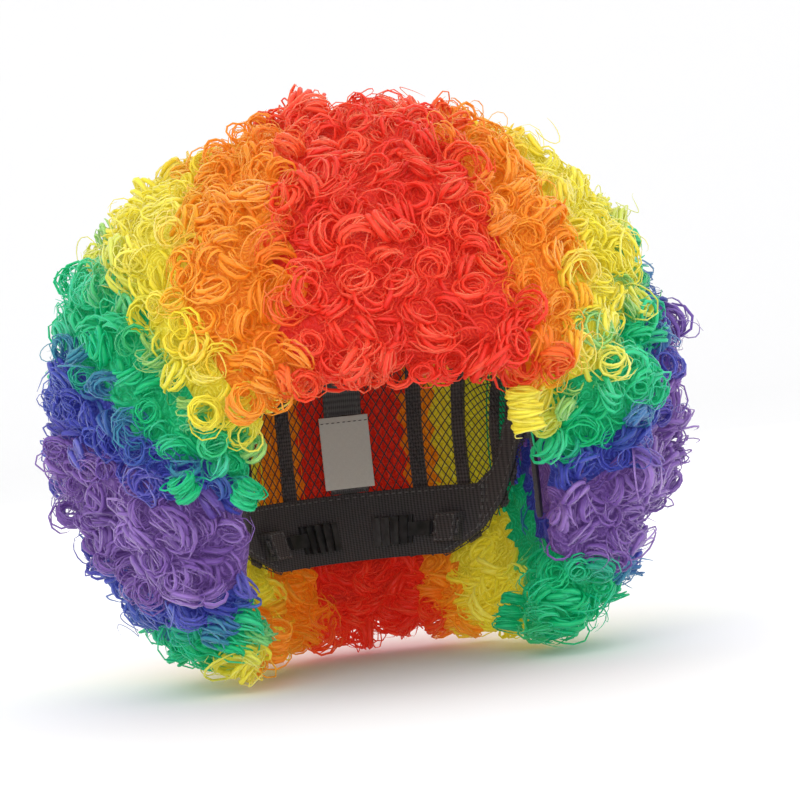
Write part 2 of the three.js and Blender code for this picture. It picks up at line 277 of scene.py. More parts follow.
class Shader:
    """A material that is being wired up, with its Principled shader."""

    def __init__(self, name: str, roughness: float) -> None:
        """Starts a material with one Principled shader."""
        self.material = bpy.data.materials.new(name)
        self.material.use_nodes = True
        self.nodes = self.material.node_tree.nodes
        self.links = self.material.node_tree.links
        self.shader = self.nodes["Principled BSDF"]
        self.shader.inputs["Roughness"].default_value = roughness

    def node(self, kind: str, **values: object) -> bpy.types.Node:
        """Adds a node and sets its own properties.

        Args:
            kind: The node's type, without its ShaderNode prefix.
            **values: Properties of the node, by name.

        Returns:
            The node.
        """
        made = self.nodes.new("ShaderNode" + kind)
        for key, value in values.items():
            setattr(made, key, value)
        return made

    def value(self, name: str) -> Socket:
        """The output that reads one of the piece's own attributes."""
        return self.node("Attribute", attribute_name=name).outputs["Fac"]

    def math(self, operation: str, *inputs: object) -> Socket:
        """A sum on numbers or sockets.

        Args:
            operation: The Math node's operation.
            *inputs: Numbers, or outputs of other nodes.

        Returns:
            The result's socket.
        """
        made = self.node("Math", operation=operation)
        for socket, given in zip(made.inputs, inputs):
            if isinstance(given, Socket):
                self.links.new(given, socket)
            else:
                socket.default_value = given
        return made.outputs[0]

    def set(self, name: str, value: float | tuple[float, ...]) -> None:
        """Gives one of the shader's own sockets a plain value."""
        self.shader.inputs[name].default_value = value

    def noise(self, place: Socket, scale: float, detail: float = 2.0, distortion: float = 0.0) -> Socket:
        """A cloudy pattern.

        Args:
            place: The coordinates that it follows.
            scale: How fine it is.
            detail: How many finer layers it has.
            distortion: How far it is pulled about.

        Returns:
            Its height, from 0 to 1.
        """
        made = self.node("TexNoise", noise_dimensions="3D")
        made.inputs["Scale"].default_value = scale
        made.inputs["Detail"].default_value = detail
        made.inputs["Distortion"].default_value = distortion
        self.links.new(place, made.inputs["Vector"])
        return made.outputs[0]

    def paint(self, colours: Socket) -> None:
        """Makes a pattern the shader's base colour."""
        self.links.new(colours, self.shader.inputs["Base Color"])

    def blend(self, first: Socket, share: float, second: Socket, other: float) -> Socket:
        """Adds two patterns, each by its own share."""
        return self.math("ADD", self.math("MULTIPLY", first, share), self.math("MULTIPLY", second, other))

    def wave(self, place: Socket, axis: str, spacing: float) -> Socket:
        """Even ribs across one axis.

        Args:
            place: The coordinates that the ribs follow.
            axis: X, Y or Z.
            spacing: The distance from one rib to the next in metres.

        Returns:
            The ribs' height, from 0 to 1.
        """
        made = self.node("TexWave", wave_type="BANDS", bands_direction=axis)
        made.inputs["Scale"].default_value = math.pi / (10 * spacing)
        made.inputs["Distortion"].default_value = 0.6
        self.links.new(place, made.inputs["Vector"])
        return made.outputs["Fac"]

    def ramp(self, driver: Socket, stops: list[tuple[float, Rgb]]) -> Socket:
        """Colours along a value.

        Args:
            driver: The value, from 0 to 1.
            stops: Each stop's place and colour.

        Returns:
            The colour's socket.
        """
        made = self.node("ValToRGB")
        line = made.color_ramp.elements
        while len(line) < len(stops):
            line.new(1.0)
        for stop, (place, colour) in zip(line, stops):
            stop.position = place
            stop.color = (*colour, 1.0)
        self.links.new(driver, made.inputs["Fac"])
        return made.outputs["Color"]

    def mix(self, share: Socket, base: Socket, other: Rgb) -> Socket:
        """Blends a plain colour over a pattern.

        Args:
            share: How much of the plain colour shows, from 0 to 1.
            base: The pattern's colour.
            other: The plain colour.

        Returns:
            The blended colour's socket.
        """
        made = self.node("MixRGB")
        self.links.new(share, made.inputs["Fac"])
        self.links.new(base, made.inputs["Color1"])
        made.inputs["Color2"].default_value = (*other, 1.0)
        return made.outputs["Color"]

    def soften_with_painted_glow(self, look: "CurlFinish") -> None:
        """Spreads the light that soaks into thin dyed fibres, and adds a painted glow of the body colour,
        though the hair is no lamp.

        Args:
            look: The hair's finish.
        """
        self.set("Specular IOR Level", look.gloss)
        self.set("Subsurface Weight", look.soak)
        self.set("Subsurface Radius", (1.0, 1.0, 1.0))
        self.set("Subsurface Scale", look.reach)
        # painted glow: the hair's body colour lights itself a little, though it is no lamp
        self.set("Emission Color", (*look.body, 1.0))
        self.set("Emission Strength", look.painted_glow)

    def bump(self, height: Socket, strength: float, distance: float) -> None:
        """Raises the surface by a pattern.

        Args:
            height: The pattern.
            strength: How much of it counts, from 0 to 1.
            distance: Its full height in metres.
        """
        made = self.node("Bump")
        made.inputs["Strength"].default_value = strength
        made.inputs["Distance"].default_value = distance
        self.links.new(height, made.inputs["Height"])
        self.links.new(made.outputs["Normal"], self.shader.inputs["Normal"])


def curl_material(colour: HairColour) -> bpy.types.Material:
    """The finish of one colour of curls.

    Fine lines run along each lock and every strand has its own shade. Strands deep in the hair are painted
    darker, as painted shade, and those near the surface paler, as painted light. The strands carry all of
    that as attributes.

    Args:
        colour: Which hair.

    Returns:
        The material.
    """
    look = CURL_FINISHES[colour]
    made = Shader("curls_" + colour.name.lower(), look.roughness)
    made.soften_with_painted_glow(look)
    along = made.math("MULTIPLY", made.value("along"), 2.6)
    across = made.math("MULTIPLY", made.value("across"), 6.0)
    tone = made.value("tone")
    seed = made.math("MULTIPLY", tone, 37.0)
    place = made.node("CombineXYZ")
    for source, socket in zip((across, along, seed), place.inputs):
        made.links.new(source, socket)
    fibres = made.noise(place.outputs[0], 1.6, 3.0)
    lines = made.math("MULTIPLY", made.math("SUBTRACT", fibres, 0.5), 0.6)
    shade = made.math("MULTIPLY", made.math("SUBTRACT", tone, 0.5), 0.6)
    # painted shade and light: the deeper a strand lies in the hair the darker it is painted, and near the
    # surface it is painted paler
    depth = made.math("MULTIPLY", made.value("painted_light_share"), 0.34)
    total = made.math("ADD", made.math("ADD", depth, shade), made.math("ADD", lines, 0.28))
    colours = made.ramp(total, [(0.0, look.deep), (0.5, look.body), (1.0, look.pale_tone_and_painted_light)])
    for name, step in (("towards_ears", -1), ("towards_crown", 1)):
        near = CURL_FINISHES.get(HairColour(min(5, max(0, colour.value + step))), look)
        colours = made.mix(made.value(name), colours, near.body)
    made.paint(colours)
    made.bump(fibres, 0.45, 0.0006)
    return made.material


def underhair_material(colour: HairColour) -> bpy.types.Material:
    """The finish of the dense hair under the curls: rings of fibre, as curls look end on.

    Args:
        colour: Which hair.

    Returns:
        The material.
    """
    look = CURL_FINISHES[colour]
    made = Shader("underhair_" + colour.name.lower(), 0.6)
    made.soften_with_painted_glow(look)
    place = made.node("TexCoord").outputs["Object"]
    cells = made.node("TexVoronoi", voronoi_dimensions="3D", feature="F1")
    cells.inputs["Scale"].default_value = 95.0
    made.links.new(place, cells.inputs["Vector"])
    fibres = made.noise(place, 320.0, 4.0, 2.0)
    turns = made.math("MULTIPLY", cells.outputs["Distance"], 34.0)
    reach = made.math("ADD", turns, made.math("MULTIPLY", fibres, 7.0))
    rings = made.math("ADD", made.math("MULTIPLY", made.math("SINE", reach), 0.22), 0.35)
    total = made.math("ADD", rings, made.math("MULTIPLY", fibres, 0.3))
    made.paint(made.ramp(total, [(0.15, look.deep), (0.55, look.body), (0.9, look.pale_tone_and_painted_light)]))
    made.bump(total, 1.0, 0.0022)
    return made.material


# ---- strands and ringlets ----


@dataclass(frozen=True)
class StrandShape:
    """One strand wound into a coil, with its section wide along the coil and thin across it."""

    radius: float
    pitch: float
    turns: float
    wide: float
    thick: float
    sides: int
    steps_per_turn: float
    taper: float = 0.3
    handed: int = 1
    wobble: float = 0.0
    phase: float = 0.0

    def mesh(self, name: str) -> bpy.types.Mesh:
        """Winds the strand about the upright line through the origin.

        Args:
            name: The mesh's name.

        Returns:
            A mesh that carries where each point is along and across the strand.
        """
        bm = bmesh.new()
        bmesh.ops.create_circle(bm, cap_ends=False, segments=self.sides, radius=1.0)
        bmesh.ops.rotate(bm, verts=bm.verts, cent=(0, 0, 0), matrix=Matrix.Rotation(math.pi / 2, 3, "X"))
        bmesh.ops.scale(bm, verts=bm.verts, vec=(self.thick / 2, 1, self.wide / 2))
        across = [v.co.z / self.wide for v in bm.verts]
        bmesh.ops.translate(bm, verts=bm.verts, vec=(self.radius, 0, 0))
        steps = round(self.turns * self.steps_per_turn)
        bmesh.ops.spin(
            bm,
            geom=bm.verts[:] + bm.edges[:],
            axis=(0, 0, self.handed),
            cent=(0, 0, 0),
            dvec=(0, 0, self.pitch * self.turns / steps),
            angle=2 * math.pi * self.turns,
            steps=steps,
        )
        bm.verts.ensure_lookup_table()
        mesh = bpy.data.meshes.new(name)
        height = self.pitch * self.turns
        along = []
        for i, vert in enumerate(bm.verts):
            share = (i // self.sides) / steps
            along.append(share * self.turns)
            ends = min(1.0, 4 * share + 0.3, 4 * (1 - share) + 0.15)
            line = Vector((vert.co.x, vert.co.y, 0)).normalized() * self.radius
            line.z = share * height
            offset = (vert.co - line) * ends
            turn = self.phase + 2 * math.pi * share * self.turns
            shrink = 1 - self.taper * share**2 + self.wobble * math.sin(1.7 * turn)
            lean = self.wobble * self.radius * math.sin(0.9 * turn + 1.0)
            middle = Vector((line.x * shrink + lean, line.y * shrink, line.z - height / 2))
            middle.z += self.wobble * self.radius * math.cos(1.3 * turn)
            vert.co = middle + offset
        bmesh.ops.recalc_face_normals(bm, faces=bm.faces)
        bm.to_mesh(mesh)
        bm.free()
        for key, values in (
            ("along", along),
            ("across", across * (steps + 1)),
            *((key, [0.0] * len(along)) for key in LAID_WITH),
        ):
            mesh.attributes.new(key, "FLOAT", "POINT").data.foreach_set("value", values)
        return mesh


LAID_WITH = ("tone", "painted_light_share", "towards_ears", "towards_crown")


class StrandKind(Enum):
    """What a strand is for: a broad lock, fine loose hair round it, or a hair that stands off."""

    LOCK = "lock"
    FIBRE = "fibre"
    FLYAWAY = "flyaway"


@dataclass(frozen=True)
class StrandSizes:
    """Between which sizes the strands of one kind are drawn, and how they stray in a ringlet.

    The pitch and thickness of a flat strand are shares of its width. In a ringlet a strand is shifted and
    tilted by about the amounts here, and gets the given extra share of painted light, so fine strands are
    painted paler.
    """

    count: int
    radius: Span
    pitch: Span
    turns: Span
    wide: Span
    thick: Span
    wobble: Span
    shift: float
    tilt: float = 0.35
    # extra painted light for this kind's strands
    painted_paler: float = 0.2
    flat: bool = False
    sides: int = 3
    steps_per_turn: float = 10.0

    def shape(self, draw: random.Random, handed: int) -> StrandShape:
        """Draws the sizes of one strand.

        Args:
            draw: The random source.
            handed: Which way round it winds, 1 or -1.

        Returns:
            The strand.
        """
        phase = draw.uniform(0, 6.28)
        wide = draw.uniform(*self.wide) if self.flat else 0.0
        unit = wide if self.flat else 1.0
        radius = draw.uniform(*self.radius)
        pitch = unit * draw.uniform(*self.pitch)
        turns = draw.uniform(*self.turns)
        wide = wide or draw.uniform(*self.wide)
        thick = unit * draw.uniform(*self.thick)
        return StrandShape(
            radius, pitch, turns, wide, thick, self.sides, self.steps_per_turn,
            handed=handed, wobble=draw.uniform(*self.wobble), phase=phase,
        )


STRANDS = {
    StrandKind.LOCK: StrandSizes(
        count=14, radius=(0.0050, 0.0076), pitch=(1.0, 1.5), turns=(1.35, 1.8),
        wide=(0.0017, 0.0027), thick=(0.45, 0.6), wobble=(0.05, 0.14),
        shift=0.0012, tilt=0.22, painted_paler=0.0, flat=True, sides=4,
    ),
    StrandKind.FIBRE: StrandSizes(
        count=18, radius=(0.0054, 0.0090), pitch=(0.0026, 0.0070), turns=(1.15, 1.5),
        wide=(0.0006, 0.0011), thick=(0.0005, 0.0008), wobble=(0.06, 0.16), shift=0.0015,
    ),
    StrandKind.FLYAWAY: StrandSizes(
        count=10, radius=(0.0048, 0.0078), pitch=(0.003, 0.009), turns=(1.0, 1.4),
        wide=(0.0005, 0.0007), thick=(0.0005, 0.0006), wobble=(0.08, 0.22), shift=0.003,
        steps_per_turn=12.0,
    ),
}


@dataclass
class CurlKit:
    """The strand shapes that every ringlet is laid from."""

    seed: int = 7
    shapes: dict[StrandKind, list[bpy.types.Mesh]] = field(default_factory=dict)

    def wind(self) -> None:
        """Winds every shape, one half of each kind each way round."""
        draw = random.Random(self.seed)
        for kind, sizes in STRANDS.items():
            self.shapes[kind] = [
                sizes.shape(draw, 1 if i % 2 else -1).mesh(f"{kind.value}_{i}") for i in range(sizes.count)
            ]

    def pick(self, kind: StrandKind, way: int, draw: random.Random) -> bpy.types.Mesh:
        """Draws a shape of one kind that winds one way."""
        shapes = self.shapes[kind]
        return shapes[draw.randrange(len(shapes) // 2) * 2 + way]


@dataclass(frozen=True)
class Dye:
    """How one strand takes its band's colour, each part from 0 to 1. The second part is how much painted
    light it gets rather than painted shade.
    """

    tone: float
    painted_light_share: float
    towards_ears: float = 0.0
    towards_crown: float = 0.0


def lay(bm: bmesh.types.BMesh, shape: bpy.types.Mesh, place: Matrix, dye: Dye) -> None:
    """Adds one strand to a piece.

    Args:
        bm: The piece that is being made.
        shape: The strand.
        place: Where it goes.
        dye: Its own colour.
    """
    count = len(shape.vertices)
    for key in LAID_WITH:
        shape.attributes[key].data.foreach_set("value", [getattr(dye, key)] * count)
    shape.transform(place)
    bm.from_mesh(shape)
    shape.transform(place.inverted())


@dataclass(frozen=True)
class RingPlace:
    """Where a place is among the rings of colour: its colour and side, and the nearest bounds.

    The side is 1 left, -1 right and 0 for the crown's red.
    """

    colour: HairColour
    side: int
    to_ears: float
    to_crown: float


def ring_of(space: HairSpace, point: Vector, stray: float = 0.0) -> RingPlace:
    """Which colour grows at a place.

    Args:
        space: The room that the hair has.
        point: The place.
        stray: Degrees that are added to its angle first, where colours mix.

    Returns:
        The place among the rings, with the degrees to the bounds on both sides.
    """
    off = point - space.middle
    side = 1 if off.x > 0 else -1
    angle = math.degrees(math.acos(min(1.0, abs(off.x) / off.length)))
    around = math.degrees(math.atan2(off.z, -off.y))
    bounds = [bound.angle(around) for bound in RING_BOUNDS[side]]
    ring = sum(angle + stray > bound for bound in bounds)
    colour = HairColour(ring)
    to_ears = angle - bounds[ring - 1] if ring else 90.0
    to_crown = bounds[ring] - angle if ring < len(bounds) else 90.0
    return RingPlace(colour, 0 if colour is HairColour.RED else side, to_ears, to_crown)


Band = tuple[HairColour, int]
SIDE_NAMES = {1: "left", -1: "right", 0: "crown"}


def band_name(colour: HairColour, side: int) -> str:
    """The part of a node's name that says its colour and side."""
    return f"{colour.name.lower()}_{SIDE_NAMES[side]}"


def in_order(bands: dict[Band, list]) -> list[tuple[Band, list]]:
    """Bands with what is in them, from the ears up and from right to left."""
    return sorted(bands.items(), key=lambda band: (band[0][0].value, band[0][1]))


@dataclass(frozen=True)
class Tress:
    """A single long ringlet in a known place, as at the temples and the fringe."""

    colour: HairColour
    side: int
    middle: Triple
    along: Triple
    size: float
    turns: int


TRESSES = (
    Tress(HairColour.YELLOW, 1, (0.054, -0.127, 0.123), (-0.12, 0.0, 1.0), 1.06, 3),
    Tress(HairColour.ORANGE, -1, (-0.073, -0.131, 0.139), (0.3, -0.9, 0.3), 1.2, 2),
    Tress(HairColour.YELLOW, -1, (-0.090, -0.120, 0.136), (-0.2, -0.9, 0.2), 1.1, 2),
    Tress(HairColour.GREEN, -1, (-0.074, -0.112, 0.098), (0.5, -0.4, 0.8), 1.0, 2),
    Tress(HairColour.GREEN, -1, (-0.102, -0.108, 0.104), (-0.4, -0.3, 0.8), 1.0, 2),
    Tress(HairColour.ORANGE, -1, (-0.058, -0.014, 0.021), (0.25, -0.5, 0.8), 1.1, 3),
    Tress(HairColour.ORANGE, -1, (-0.066, 0.010, 0.026), (0.35, -0.3, 0.8), 1.1, 3),
    Tress(HairColour.GREEN, 1, (0.060, -0.012, 0.021), (0.3, 0.1, 0.9), 1.0, 3),
)


@dataclass
class Hair:
    """All the curls, sorted into one or more pieces for each band.

    Ringlets keep the distance in spacing from each other, and lie between the depths in shallow and
    deep. They are closer together in the thin lower edge and further apart where they back onto the
    cap, whose lower edge is at cap_edge beside the head and at nape_edge behind it. Colours mix
    within the degrees in blend_reach of a bound, and lighter and darker hair changes over patch.
    Ringlets point outward, stray and droop by those shares. Most have a usual size.
    """

    space: HairSpace = HairSpace()
    seed: int = 20
    tries: int = 330000
    face_limit: int = 95000
    shallow: float = 0.0030
    deep: float = 0.0130
    spacing: float = 0.0092
    low_spacing: float = 0.0074
    low: float = 0.045
    cap_spacing: float = 0.018
    cap_edge: float = 0.085
    nape_edge: float = 0.044
    off_cap: float = 0.0105
    least_height: float = 0.0105
    widest: float = 0.0102
    blend_reach: float = 4.5
    patch: float = 0.045
    outside: float = 0.86
    outward: float = 0.8
    stray: float = 0.6
    droop: float = 0.3
    usual: float = 0.75
    usual_size: Span = (0.85, 1.12)
    large_size: Span = (1.12, 1.35)
    lifted: Span = (0.003, 0.007)
    tress_step: float = 0.0062

    def centres(self) -> list[tuple[Vector, float]]:
        """Draws the middles of the ringlets, in a layer inside every side of the hair.

        Returns:
            Each middle, and how deep it is in the hair.
        """
        draw = random.Random(self.seed)
        cell = self.cap_spacing
        grid: dict[tuple[int, int, int], list[Vector]] = {}
        found = []
        low = [c - h for c, h in zip(self.space.ball.centre, self.space.ball.half)]
        high = [c + h for c, h in zip(self.space.ball.centre, self.space.ball.half)]
        for _ in range(self.tries):
            point = Vector([draw.uniform(a, b) for a, b in zip(low, high)])
            if self.space.ball.share(point) > 1 or self.space.head.share(point) < 1:
                continue
            if self.space.ball.share(point) < 0.75 and self.space.gap(point, 0.0) > self.deep:
                continue
            if point.z < self.least_height:
                continue
            depth = self.space.gap(point, self.space.valley(point))
            if not self.shallow < depth < self.deep:
                continue
            off_cap = self.space.head_gap(point)
            if off_cap < self.off_cap and point.z > self.nape_edge:
                continue
            at_cap = off_cap < self.deep and point.z > self.cap_edge
            spacing = self.cap_spacing if at_cap else self.spacing
            if point.z < self.low:
                spacing = self.low_spacing
            key = tuple(math.floor(c / cell) for c in point)
            around = (
                other
                for i in (-1, 0, 1)
                for j in (-1, 0, 1)
                for k in (-1, 0, 1)
                for other in grid.get((key[0] + i, key[1] + j, key[2] + k), ())
            )
            if any((other - point).length < spacing for other in around):
                continue
            grid.setdefault(key, []).append(point)
            found.append((point, depth))
        return found

    def build(self, kit: CurlKit, finishes: Finishes) -> None:
        """Lays every ringlet and makes the pieces.

        Args:
            kit: The strand shapes.
            finishes: The material of each colour.
        """
        draw = random.Random(self.seed + 1)
        groups: dict[Band, list[tuple[float, Vector, float]]] = {}
        for point, depth in self.centres():
            place = ring_of(self.space, point, draw.gauss(0, 2.4 if point.x > 0 else 1.6))
            off = point - self.space.middle
            around = math.atan2(off.z, -off.y)
            groups.setdefault((place.colour, place.side), []).append((around, point, depth))
        for (colour, side), members in in_order(groups):
            members.sort(key=lambda member: member[0])
            material = finishes[colour]
            bm = bmesh.new()
            number = 1
            for tress in TRESSES:
                if (tress.colour, tress.side) == (colour, side):
                    self.tress(bm, kit, tress, draw)
            for _, point, depth in members:
                self.ringlet(bm, kit, colour, point, depth, draw)
                if len(bm.faces) > self.face_limit:
                    self.piece(bm, colour, side, number, material)
                    bm = bmesh.new()
                    number += 1
            self.piece(bm, colour, side, number, material)
            LOG.info("%s: %d ringlets", band_name(colour, side), len(members))

    def piece(
        self,
        bm: bmesh.types.BMesh,
        colour: HairColour,
        side: int,
        number: int,
        material: bpy.types.Material,
    ) -> None:
        """Makes one piece of curls and hides the CAD solid that it stands for.

        Args:
            bm: The curls, which are freed.
            colour: Their colour.
            side: 1 left, -1 right or 0 for the crown.
            number: Which piece of the band it is, from 1.
            material: The finish.
        """
        name = band_name(colour, side)
        made = new_piece(f"curls_{name}_{number}", bm, material)
        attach(made, HAIR_BODY)
        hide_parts("hair_" + name)

    def blends(self, colour: HairColour, point: Vector, draw: random.Random) -> list[float]:
        """How far a ringlet takes on the next colours towards the ears and towards the crown."""
        near = ring_of(self.space, point)
        if near.colour is not colour:
            share = draw.uniform(0.15, 0.5)
            return [share, 0.0] if near.colour.value < colour.value else [0.0, share]
        return [
            max(0.0, draw.uniform(0.1, 0.55) * (1 - to / self.blend_reach))
            for to in (near.to_ears, near.to_crown)
        ]

    def ringlet(
        self,
        bm: bmesh.types.BMesh,
        kit: CurlKit,
        colour: HairColour,
        point: Vector,
        depth: float,
        draw: random.Random,
    ) -> None:
        """Lays one ringlet: a few narrow locks, with fine hair round them.

        Args:
            bm: The piece.
            kit: The strand shapes.
            colour: The piece's colour.
            point: The middle of the ringlet.
            depth: How deep it is in the hair.
            draw: The random source.
        """
        surface = max(0.0, 1 - (depth - self.shallow) / (self.deep - self.shallow))
        outside = self.space.ball.share(point) > self.outside
        axis = self.space.ball.out(point) * self.outward
        axis += Vector([draw.gauss(0, self.stray) for _ in range(3)])
        axis += Vector((0, 0, -self.droop))
        turn = axis.to_track_quat("Z", "Y").to_matrix().to_4x4()
        size = draw.uniform(*(self.usual_size if draw.random() < self.usual else self.large_size))
        size = min(size, point.z / self.widest)
        base = draw.uniform(0, 2 * math.pi)
        patch = 0.5 + 0.9 * noise.noise(point / self.patch)
        tone = 0.5 * draw.random() + 0.5 * patch
        blends = self.blends(colour, point, draw)
        way = draw.randrange(2)
        plan = [StrandKind.LOCK] * (3 if surface > 0.5 else 2)
        plan += [StrandKind.FIBRE] * (4 if outside and surface > 0.3 else 1)
        if outside and surface > 0.75 and draw.random() < 0.2:
            plan.append(StrandKind.FLYAWAY)
        for i, kind in enumerate(plan):
            shape = kit.pick(kind, way, draw)
            sizes = STRANDS[kind]
            shift = Vector([draw.gauss(0, sizes.shift) for _ in range(3)])
            if kind is StrandKind.FLYAWAY:
                shift += self.space.ball.out(point) * draw.uniform(*self.lifted)
            phase = base + i * 2.2 + draw.uniform(-0.4, 0.4)
            spin = Matrix.Rotation(phase, 4, "Z") @ Matrix.Rotation(draw.gauss(0, sizes.tilt), 4, "X")
            grow = size * draw.uniform(0.9, 1.1)
            place = Matrix.Translation(point + shift) @ turn @ spin @ Matrix.Scale(grow, 4)
            shade = min(1, max(0, tone + draw.gauss(0, 0.12)))
            # painted light: strands near the surface, and finer strands, are painted paler; deep ones are
            # painted darker as shade
            painted_light_share = min(1.0, surface + sizes.painted_paler)
            lay(bm, shape, place, Dye(shade, painted_light_share, *blends))

    def tress(self, bm: bmesh.types.BMesh, kit: CurlKit, tress: Tress, draw: random.Random) -> None:
        """Lays one long ringlet as several short ones end to end.

        Args:
            bm: The piece.
            kit: The strand shapes.
            tress: Where it hangs and how long it is.
            draw: The random source.
        """
        along = Vector(tress.along).normalized()
        turn = along.to_track_quat("Z", "Y").to_matrix().to_4x4()
        step = self.tress_step * tress.size
        way = draw.randrange(2)
        for i in range(tress.turns):
            middle = Vector(tress.middle) + along * step * (i - (tress.turns - 1) / 2)
            for j, kind in enumerate([StrandKind.LOCK] * 3 + [StrandKind.FIBRE] * 4):
                spin = Matrix.Rotation(i * 1.3 + j * 1.9, 4, "Z")
                grow = tress.size * draw.uniform(0.98, 1.05)
                place = Matrix.Translation(middle) @ turn @ spin @ Matrix.Scale(grow, 4)
                # painted light: the long ringlets lie at the surface and are painted nearly fully lit
                lay(bm, kit.pick(kind, way, draw), place, Dye(0.45 + draw.gauss(0, 0.12), 0.95))


@dataclass
class Underhair:
    """The dense hair under the outer curls: one thick lumpy shell for each band of colour."""

    space: HairSpace = HairSpace()
    subdivisions: int = 5
    outer_depth: float = 0.0075
    inner_depth: float = 0.0045
    least: float = 0.004
    far: float = 0.20
    stride: float = 0.004
    lump: float = 0.004
    lump_size: float = 0.011

    def span(self, way: Vector) -> Span | None:
        """The stretch of dense hair along a line out of the middle of the head.

        Args:
            way: The line's direction, of length 1.

        Returns:
            The distances at which it starts and ends, or None where there is too little hair.
        """
        centre = self.space.middle
        steps = [i * self.stride for i in range(int(0.07 / self.stride), int(self.far / self.stride))]
        valley = self.space.valley(centre + way)
        gaps = [(r, self.space.gap(centre + way * r, valley)) for r in steps]
        outer = [r for r, gap in gaps if gap > self.outer_depth]
        inner = [r for r, gap in gaps if gap > self.inner_depth]
        if not outer or outer[-1] - inner[0] < self.least:
            return None
        return inner[0], self.edge(way, outer[-1], valley)

    def edge(self, way: Vector, start: float, valley: float) -> float:
        """The distance at which the hair gets shallower than the shell's outer depth.

        Args:
            way: The line's direction, of length 1.
            start: A distance just before it.
            valley: How far the outer side draws in there.

        Returns:
            The distance, to a fraction of a millimetre.
        """
        centre = self.space.middle
        low, high = start, start + self.stride
        for _ in range(5):
            middle = (low + high) / 2
            if self.space.gap(centre + way * middle, valley) > self.outer_depth:
                low = middle
            else:
                high = middle
        return low

    def build(self, finishes: Finishes) -> None:
        """Makes one shell for each band.

        Args:
            finishes: The material of each colour.
        """
        centre = self.space.middle
        ball = bmesh.new()
        bmesh.ops.create_icosphere(ball, subdivisions=self.subdivisions, radius=1.0)
        spans = {self.key(vert): self.span(vert.co.normalized()) for vert in ball.verts}
        bands: dict[Band, list[int]] = {}
        for face in ball.faces:
            if all(spans[self.key(vert)] for vert in face.verts):
                middle = centre + face.calc_center_median().normalized() * 0.14
                place = ring_of(self.space, middle)
                bands.setdefault((place.colour, place.side), []).append(face.index)
        for (colour, side), kept in in_order(bands):
            bm = ball.copy()
            wanted = set(kept)
            bmesh.ops.delete(bm, geom=[f for f in bm.faces if f.index not in wanted], context="FACES")
            self.shell(bm, spans, centre)
            name = band_name(colour, side)
            piece = new_piece(f"underhair_{name}", bm, finishes[colour])
            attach(piece, HAIR_BODY)
        ball.free()

    def key(self, vert: bmesh.types.BMVert) -> tuple[float, ...]:
        """What tells the ball's corners apart."""
        return tuple(round(c, 5) for c in vert.co)

    def shell(
        self, bm: bmesh.types.BMesh, spans: dict[tuple[float, ...], Span | None], centre: Vector
    ) -> None:
        """Turns a patch of the ball into a closed shell between its two depths.

        Args:
            bm: The patch, which is changed.
            spans: The stretch of dense hair at each corner of the ball.
            centre: The middle of the head.
        """
        made = bmesh.ops.extrude_face_region(bm, geom=bm.faces[:])
        raised = {g for g in made["geom"] if isinstance(g, bmesh.types.BMVert)}
        for vert in bm.verts:
            low, high = spans[self.key(vert)]
            vert.co = centre + vert.co.normalized() * (high if vert in raised else low)
        bmesh.ops.subdivide_edges(bm, edges=bm.edges[:], cuts=1, use_grid_fill=True)
        for vert in bm.verts:
            near = noise.voronoi(vert.co / self.lump_size)[0][0]
            vert.co += self.space.ball.out(vert.co) * self.lump * (0.4 - near)
        bmesh.ops.recalc_face_normals(bm, faces=bm.faces)


# ---- the cap ----


@dataclass(frozen=True)
class ClothFinish:
    """A woven or knitted finish: its two thread colours, their spacing in metres, and its relief."""

    ground: Rgb
    thread: Rgb
    rib: float
    cross: float
    roughness: float
    relief: float = 0.0004
    sheen: float = 0.15


ELASTIC = ClothFinish((0.030, 0.028, 0.031), (0.115, 0.108, 0.115), 0.0016, 0.0009, 0.82)
GROSGRAIN = ClothFinish((0.036, 0.033, 0.037), (0.135, 0.128, 0.136), 0.0011, 0.0030, 0.58, 0.0003, 0.3)
WEFT_TAPE = ClothFinish((0.035, 0.030, 0.033), (0.14, 0.125, 0.13), 0.0013, 0.0020, 0.8)
TAB_FELT = ClothFinish((0.034, 0.030, 0.033), (0.095, 0.088, 0.094), 0.0007, 0.0007, 0.9, 0.0002)
LABEL_WEAVE = ClothFinish((0.70, 0.69, 0.66), (0.90, 0.89, 0.86), 0.0006, 0.0006, 0.7, 0.0001, 0.25)
THREAD = ClothFinish((0.12, 0.115, 0.12), (0.24, 0.23, 0.24), 0.0005, 0.0005, 0.6, 0.0001)
NET_THREAD = ClothFinish((0.028, 0.025, 0.028), (0.105, 0.096, 0.104), 0.0008, 0.0008, 0.75, 0.0001)


def cloth_material(name: str, look: ClothFinish) -> bpy.types.Material:
    """The finish of a woven tape, ribbon, felt or thread.

    Args:
        name: The material's name.
        look: Its colours and its weave.

    Returns:
        The material.
    """
    made = Shader(name, look.roughness)
    made.set("Sheen Weight", look.sheen)
    made.set("Sheen Roughness", 0.5)
    made.set("Specular IOR Level", 0.3)
    place = made.node("TexCoord").outputs["Object"]
    ribs = made.wave(place, "X", look.rib)
    rows = made.wave(place, "Z", look.cross)
    total = made.blend(made.blend(ribs, 0.5, rows, 0.5), 0.7, made.noise(place, 900.0), 0.3)
    made.paint(made.ramp(total, [(0.2, look.ground), (0.75, look.thread)]))
    made.bump(total, 0.6, look.relief)
    return made.material


